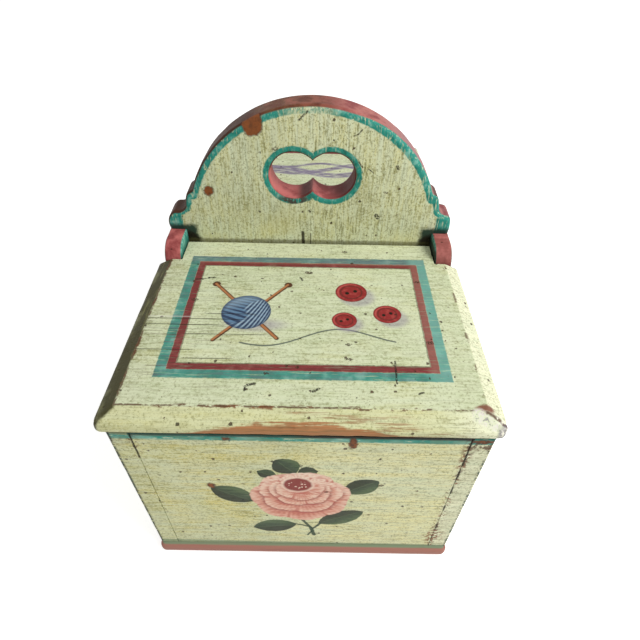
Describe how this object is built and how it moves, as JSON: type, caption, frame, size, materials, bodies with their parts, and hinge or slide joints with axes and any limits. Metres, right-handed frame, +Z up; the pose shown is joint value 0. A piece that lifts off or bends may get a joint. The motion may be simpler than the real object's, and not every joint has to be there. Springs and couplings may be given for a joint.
{
  "type": "sewing carrier",
  "caption": "Painted plank sewing carrier: two hinged lids over two compartments, parted by a tall arched board with a grip hole.",
  "frame": {"origin": "middle of the flat underside of the bottom board", "axes": "X across the width, Y along the depth with the front lid towards -Y, Z up"},
  "size_m": [0.2062, 0.334, 0.2509],
  "materials": {
    "painted_wood": "old cream-green paint brushed over wood, worn through at the edges, satin",
    "rose_red_painted_wood": "faded rose-red paint on a rounded edge, satin",
    "iron": "dark iron wire nails"
  },
  "bodies": {
    "carrier": {"bottom_board": "rose_red_painted_wood", "left_side": "painted_wood", "right_side": "painted_wood", "front_panel": "painted_wood", "back_panel": "painted_wood", "handle_board": "painted_wood", "front_left_hinge_pin": "iron", "front_right_hinge_pin": "iron", "back_left_hinge_pin": "iron", "back_right_hinge_pin": "iron", "front_panel_nails": "iron", "back_panel_nails": "iron", "handle_board_nails": "iron", "bottom_board_nails": "iron"},
    "front_lid": {"front_lid": "painted_wood"},
    "back_lid": {"back_lid": "painted_wood"}
  },
  "joints": [
    {"name": "front_lid_hinge", "type": "hinge", "parent": "carrier", "child": "front_lid", "pos_m": [0, -0.02, 0.1513], "axis": [-1, 0, 0], "range_deg": [0, 92]},
    {"name": "back_lid_hinge", "type": "hinge", "parent": "carrier", "child": "back_lid", "pos_m": [0, 0.02, 0.1513], "axis": [1, 0, 0], "range_deg": [0, 92]}
  ]
}
